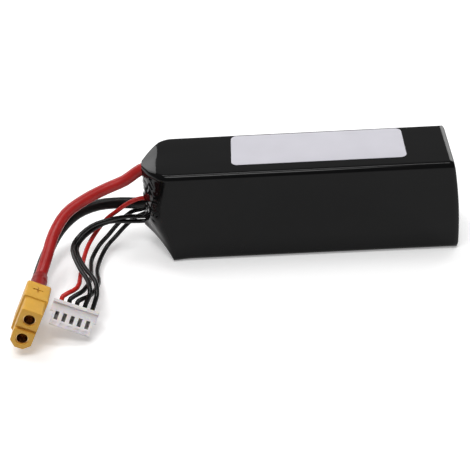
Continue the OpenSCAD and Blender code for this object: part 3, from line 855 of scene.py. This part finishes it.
class BATTERY_OT_label(bpy.types.Operator):
    """Gives the blank label its satin finish"""

    bl_idname = "battery.label"
    bl_label = "Finish Label"

    def execute(self, context):
        piece = copy_of_node("rating_label", "blank_label")
        soften_edges(piece, LABEL_EDGE, segments=2, sharp=40)
        smooth(piece, 40)
        material = label_finish("satin_label_film", context.scene.battery_film.label, roughness=0.5)
        finish_piece(piece, material, "rating_label")
        return {"FINISHED"}


# ---- Plugs ----

SIGN_HEIGHT = 7.75 * MM    # of the plug's narrow side over the positive socket, from its middle


class BATTERY_OT_power_plug(bpy.types.Operator):
    """Adds the power plug's moulded shell and plus sign, and plates its sockets"""

    bl_idname = "battery.power_plug"
    bl_label = "Add Power Plug"

    def execute(self, context):
        plugs = context.scene.battery_plugs
        yellow = moulded_finish("amber_nylon", plugs.yellow, roughness=0.42, glow=0.12)
        shell = copy_of_node("power_plug_housing", "power_plug_shell")
        soften_edges(shell, plugs.moulded_edge, segments=3)
        self.engrave(shell, plugs)
        smooth(shell, 40)
        finish_piece(shell, yellow, "power_plug_housing")
        gold = metal_finish("gold_plating", (0.85, 0.56, 0.26), roughness=0.28)
        for name in ("positive_socket", "negative_socket"):
            paint_node(name, gold)
        return {"FINISHED"}

    @staticmethod
    def engrave(shell, plugs):
        """Cuts the plus sign into the narrow side over the positive socket."""
        arm, half = plugs.sign_size / 2, plugs.sign_width / 2
        one_arm = [Vector((half, -half, 0)), Vector((arm, -half, 0)), Vector((arm, half, 0))]
        outline = []
        for quarter in range(4):
            turn = Matrix.Rotation(quarter * math.pi / 2, 3, "Z")
            outline += [turn @ corner for corner in one_arm]
        count = len(outline)
        rise = Vector((0, 0, plugs.sign_depth))
        points = [corner - rise for corner in outline] + [corner + rise for corner in outline]
        faces = [(k, (k + 1) % count, count + (k + 1) % count, count + k) for k in range(count)]
        faces += [tuple(reversed(range(count))), tuple(range(count, 2 * count))]
        cutter = mesh_piece("plus_cutter", points, faces)
        cutter.matrix_world = power_plug_frame() @ Matrix.Translation((plugs.sign_place, 0, SIGN_HEIGHT))
        settle(cutter)
        apply_modifier(shell, "BOOLEAN", object=cutter, operation="DIFFERENCE", solver="EXACT")
        bpy.data.objects.remove(cutter, do_unlink=True)


class BATTERY_OT_balance_plug(bpy.types.Operator):
    """Adds the balance plug's moulded shell, and plates its contacts"""

    bl_idname = "battery.balance_plug"
    bl_label = "Add Balance Plug"

    def execute(self, context):
        plugs = context.scene.battery_plugs
        white = moulded_finish("white_nylon", plugs.white, roughness=0.38, glow=0.5)
        shell = copy_of_node("balance_plug_housing", "balance_plug_shell")
        soften_edges(shell, plugs.small_edge, segments=2)
        smooth(shell, 40)
        finish_piece(shell, white, "balance_plug_housing")
        # The contacts' tin is painted dark grey for the shade inside the plug's windows, and its strong
        # light and dark mottle, at three times the usual contrast, is painted glints and shade.
        tin_with_painted_shade = metal_finish("tinned_contact", (0.16, 0.15, 0.145), roughness=0.35, contrast=3.0)
        paint_node("balance_contacts", tin_with_painted_shade)
        return {"FINISHED"}


CELLS = 4


class BATTERY_OT_inside(bpy.types.Operator):
    """Gives the cells, tapes, board and joints inside the film their finishes"""

    bl_idname = "battery.inside"
    bl_label = "Finish Inner Parts"

    def execute(self, context):
        pouch = metal_finish("dull_pouch_laminate", (0.55, 0.56, 0.58), roughness=0.48)
        foil = metal_finish("aluminium_foil", (0.70, 0.70, 0.71), roughness=0.30)
        nickel = metal_finish("nickel_plating", (0.55, 0.52, 0.47), roughness=0.30)
        solder = metal_finish("bright_solder", (0.56, 0.56, 0.58), roughness=0.22)
        pale_tape = tape_finish("pale_tape", (0.60, 0.56, 0.42), roughness=0.55)
        amber_tape = tape_finish("amber_tape", (0.60, 0.36, 0.05), roughness=0.30)
        foam = tape_finish("black_foam", (0.03, 0.03, 0.032), roughness=0.85)
        paper = tape_finish("insulating_paper", (0.50, 0.50, 0.42), roughness=0.60)
        laminate = tape_finish("green_laminate", (0.012, 0.11, 0.035), roughness=0.35)
        for index in range(1, CELLS + 1):
            paint_node(f"cell_{index}", pouch)
            paint_node(f"positive_tab_{index}", foil)
            paint_node(f"negative_tab_{index}", nickel)
        for index in range(1, CELLS):
            paint_node(f"cell_tape_{index}", pale_tape)
        paint_node("stack_bands", amber_tape)
        paint_node("end_pad", foam)
        paint_node("insulating_sheet", paper)
        paint_node("connection_board", laminate)
        for name in ("lead_solder_joints", "balance_solder_joints"):
            paint_node(name, solder)
        for pole in ("positive", "negative"):
            paint_node(f"{pole}_cup_solder", solder)
        return {"FINISHED"}


# ---- Stage ----

FLOOR_SIZE = 6.0

# Each lamp's name, power setting, place, height of the point that it faces, and size, in metres
LAMPS = (
    ("key_lamp", "key_power", (-0.12, -0.25, 0.9), 0.02, (0.5, 0.25)),
    ("strip_lamp", "strip_power", (0.05, 0.13, 0.85), 0.03, (0.8, 0.13)),
    ("back_lamp", "back_power", (0, 0.85, 0.66), 0.03, (1.4, 0.6)),
    ("left_rim_lamp", "rim_power", (-0.60, 0.60, 0.45), 0.03, (0.6, 0.4)),
    ("right_rim_lamp", "rim_power", (0.55, 0.70, 0.32), 0.03, (0.5, 0.3)),
)

CAMERA_PLACE = (-0.0144, -0.3093, 0.239)
CAMERA_AZIMUTH = 1.5     # degrees from looking along +Y
CAMERA_DIP = 37.6        # degrees below level
CAMERA_ROLL = -3.64      # degrees about the line of sight
SENSOR_WIDTH = 36.0      # in millimetres


class BATTERY_OT_stage(bpy.types.Operator):
    """Adds the pale floor, the soft lamps, the surrounding light and the camera"""

    bl_idname = "battery.stage"
    bl_label = "Add Stage"

    def execute(self, context):
        stage = context.scene.battery_stage
        context.scene.view_settings.view_transform = "Standard"
        self.add_floor(stage)
        for name, setting, place, facing, size in LAMPS:
            self.add_lamp(name, getattr(stage, setting), place, facing, size)
        self.light_the_world(context.scene, stage)
        self.add_camera(context.scene, stage)
        return {"FINISHED"}

    @staticmethod
    def seen_directly(tree):
        """1 for rays that come from the camera, from gloss or through glass."""
        path = tree.nodes.new("ShaderNodeLightPath")
        total = path.outputs["Is Camera Ray"]
        for name in ("Is Glossy Ray", "Is Transmission Ray"):
            added = tree.nodes.new("ShaderNodeMath")
            added.operation = "MAXIMUM"
            tree.links.new(total, added.inputs[0])
            tree.links.new(path.outputs[name], added.inputs[1])
            total = added.outputs[0]
        return total

    def add_floor(self, stage):
        """A pale floor that looks lighter from the camera, and keeps its shadows."""
        deselect_all()
        bpy.ops.mesh.primitive_plane_add(size=FLOOR_SIZE, location=(0, 0, 0))
        floor = bpy.context.object
        floor.name = "floor"
        material = bpy.data.materials.new("pale_floor")
        material.use_nodes = True
        tree = material.node_tree
        shader = tree.nodes["Principled BSDF"]
        shader.inputs["Base Color"].default_value = (*stage.floor, 1)
        shader.inputs["Roughness"].default_value = 0.9
        shader.inputs["Specular IOR Level"].default_value = 0.0
        shader.inputs["Emission Color"].default_value = (1, 1, 1, 1)
        lift = tree.nodes.new("ShaderNodeMath")
        lift.operation = "MULTIPLY"
        lift.inputs[1].default_value = stage.floor_lift
        tree.links.new(self.seen_directly(tree), lift.inputs[0])
        tree.links.new(lift.outputs[0], shader.inputs["Emission Strength"])
        floor.data.materials.append(material)

    @staticmethod
    def add_lamp(name, watts, place, facing, size):
        """A soft rectangular lamp that faces a point over the origin."""
        data = bpy.data.lights.new(name, "AREA")
        data.shape = "RECTANGLE"
        data.size, data.size_y = size
        data.energy = watts
        lamp = bpy.data.objects.new(name, data)
        lamp.location = place
        towards = Vector((0, 0, facing)) - Vector(place)
        lamp.rotation_euler = towards.to_track_quat("-Z", "Y").to_euler()
        bpy.context.scene.collection.objects.link(lamp)

    @staticmethod
    def light_the_world(scene, stage):
        """Even white light from all round."""
        world = bpy.data.worlds.new("soft_surround")
        scene.world = world
        world.use_nodes = True
        background = world.node_tree.nodes["Background"]
        background.inputs["Color"].default_value = (1, 1, 1, 1)
        background.inputs["Strength"].default_value = stage.world_level

    @staticmethod
    def add_camera(scene, stage):
        """A camera that looks down on the front of the pack."""
        data = bpy.data.cameras.new("camera")
        data.sensor_width = SENSOR_WIDTH
        data.lens = stage.lens
        data.clip_start = 0.01
        camera = bpy.data.objects.new("camera", data)
        azimuth, dip, roll = (math.radians(a) for a in (CAMERA_AZIMUTH, CAMERA_DIP, CAMERA_ROLL))
        right = Vector((math.cos(azimuth), math.sin(azimuth), 0))
        level = Vector((-math.sin(azimuth), math.cos(azimuth), 0))
        ahead = level * math.cos(dip) - Vector((0, 0, math.sin(dip)))
        up = right.cross(ahead)
        rolled_right = math.cos(roll) * right + math.sin(roll) * up
        rolled_up = math.cos(roll) * up - math.sin(roll) * right
        turn = Matrix((rolled_right, rolled_up, -ahead)).transposed()
        camera.matrix_world = Matrix.Translation(CAMERA_PLACE) @ turn.to_4x4()
        scene.collection.objects.link(camera)
        scene.camera = camera


# ---- Panel and registration ----

OPERATORS = (
    BATTERY_OT_stage, BATTERY_OT_power_plug, BATTERY_OT_balance_plug, BATTERY_OT_sleeves,
    BATTERY_OT_leads, BATTERY_OT_wires, BATTERY_OT_film, BATTERY_OT_label, BATTERY_OT_inside,
)


class BATTERY_PT_panel(bpy.types.Panel):
    """Sizes, colours and steps of the battery pack"""

    bl_idname = "BATTERY_PT_panel"
    bl_label = "Battery Pack"
    bl_space_type = "VIEW_3D"
    bl_region_type = "UI"
    bl_category = "Battery"

    def draw(self, context):
        for name in SETTINGS:
            group = getattr(context.scene, name)
            box = self.layout.box()
            box.label(text=group.__doc__ or name)
            for key in group.__annotations__:
                box.prop(group, key)
        for operator in OPERATORS:
            self.layout.operator(operator.bl_idname)


SETTINGS = {
    "battery_film": FilmSettings,
    "battery_cords": CordSettings,
    "battery_plugs": PlugSettings,
    "battery_stage": StageSettings,
}


def register():
    """Registers the classes and hangs the settings on the scene."""
    for kind in (*SETTINGS.values(), *OPERATORS, BATTERY_PT_panel):
        bpy.utils.register_class(kind)
    for name, kind in SETTINGS.items():
        setattr(bpy.types.Scene, name, PointerProperty(type=kind))


def unregister():
    """Takes the settings off the scene and unregisters the classes."""
    for name in SETTINGS:
        delattr(bpy.types.Scene, name)
    for kind in reversed((*SETTINGS.values(), *OPERATORS, BATTERY_PT_panel)):
        bpy.utils.unregister_class(kind)


def main():
    """Registers the classes and makes every piece."""
    register()
    for operator in OPERATORS:
        family, name = operator.bl_idname.split(".")
        getattr(getattr(bpy.ops, family), name)()


if __name__ == "__main__":
    main()
